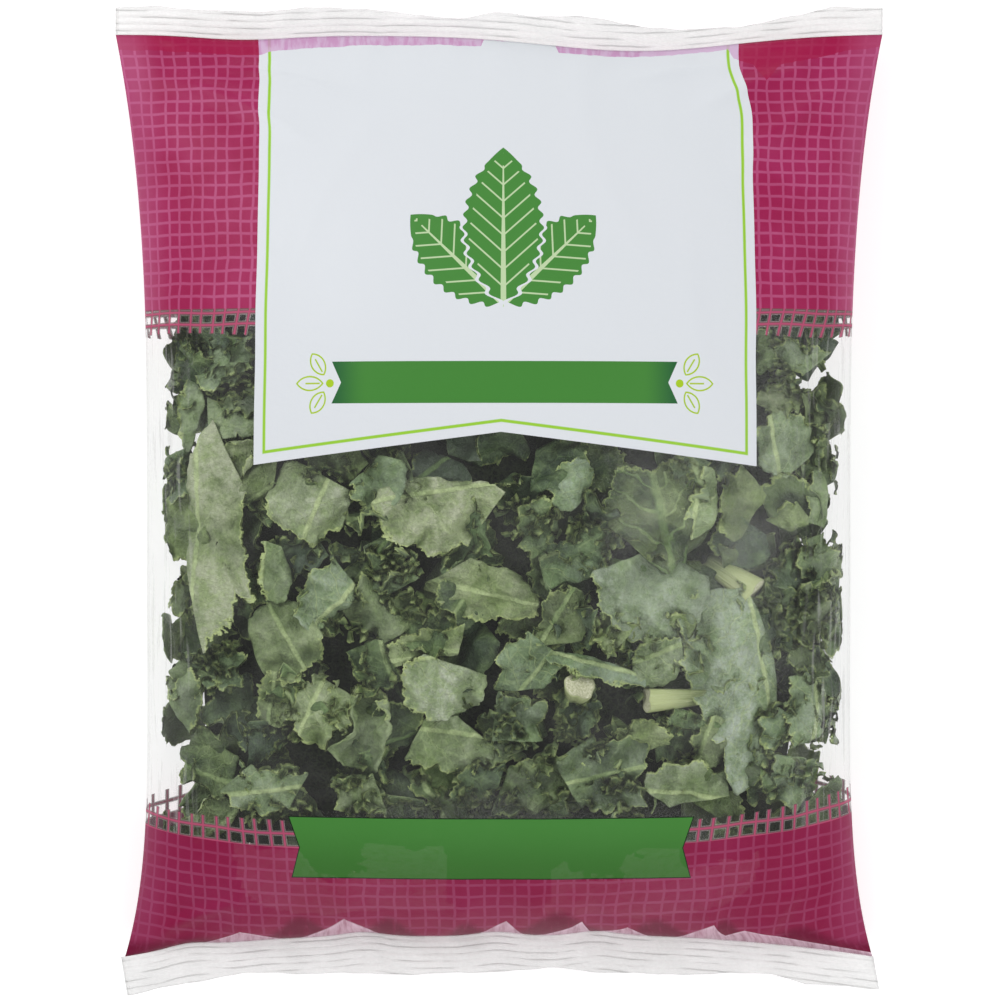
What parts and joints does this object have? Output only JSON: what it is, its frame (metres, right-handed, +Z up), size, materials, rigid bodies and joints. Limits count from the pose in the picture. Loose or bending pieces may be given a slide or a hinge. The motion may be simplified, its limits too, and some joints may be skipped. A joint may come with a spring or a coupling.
{
  "type": "bag of chopped kale",
  "caption": "Sealed pillow bag of chopped curly kale, lying flat: crimped ends, a fin seal down the back, gingham bands, a plain label panel and a clear window on the leaves.",
  "frame": {"origin": "under the middle of the bag, on the surface that it lies on", "axes": "+Z up, the way the printed front faces; +Y along the bag towards the top crimp; +X across the bag, to the right as the front is seen with the top crimp up"},
  "size_m": [0.257, 0.3321, 0.0673],
  "materials": {
    "printed_film": "glossy printed film, magenta with a pale gingham check",
    "clear_film": "clear glossy film, slightly hazy",
    "crimp_film": "heat-sealed milky film with crimp ribs",
    "white_print": "glossy white print on film",
    "green_print": "glossy green print on film",
    "kale_leaf": "waxy ruffled leaf with pale veins",
    "kale_stem": "fresh cut stem, pale green"
  },
  "bodies": {
    "root": {"film_top_band": "printed_film", "film_bottom_band": "printed_film", "film_window": "clear_film", "top_crimp_seal": "crimp_film", "bottom_crimp_seal": "crimp_film", "back_fin_seal": "crimp_film", "label_panel": "white_print", "label_ribbon": "green_print", "lower_ribbon": "green_print", "kale_heap": "kale_leaf", "leaf_left_long": "kale_leaf", "leaf_under_label": "kale_leaf", "leaf_pale_curl": "kale_leaf", "leaf_mid_fold": "kale_leaf", "leaf_veined": "kale_leaf", "leaf_broad": "kale_leaf", "leaf_right_long": "kale_leaf", "leaf_pale_cut": "kale_leaf", "leaf_small_left": "kale_leaf", "leaf_net_veined": "kale_leaf", "leaf_low_right": "kale_leaf", "leaf_curly_low": "kale_leaf", "leaf_curly_left": "kale_leaf", "leaf_lower_mid": "kale_leaf", "leaf_side_notch": "kale_leaf", "leaf_frill_mid": "kale_leaf", "leaf_rolled": "kale_leaf", "leaf_bottom_left": "kale_leaf", "stem_cut_right": "kale_stem", "stem_cut_low": "kale_stem", "stem_end_middle": "kale_stem"}
  },
  "joints": []
}
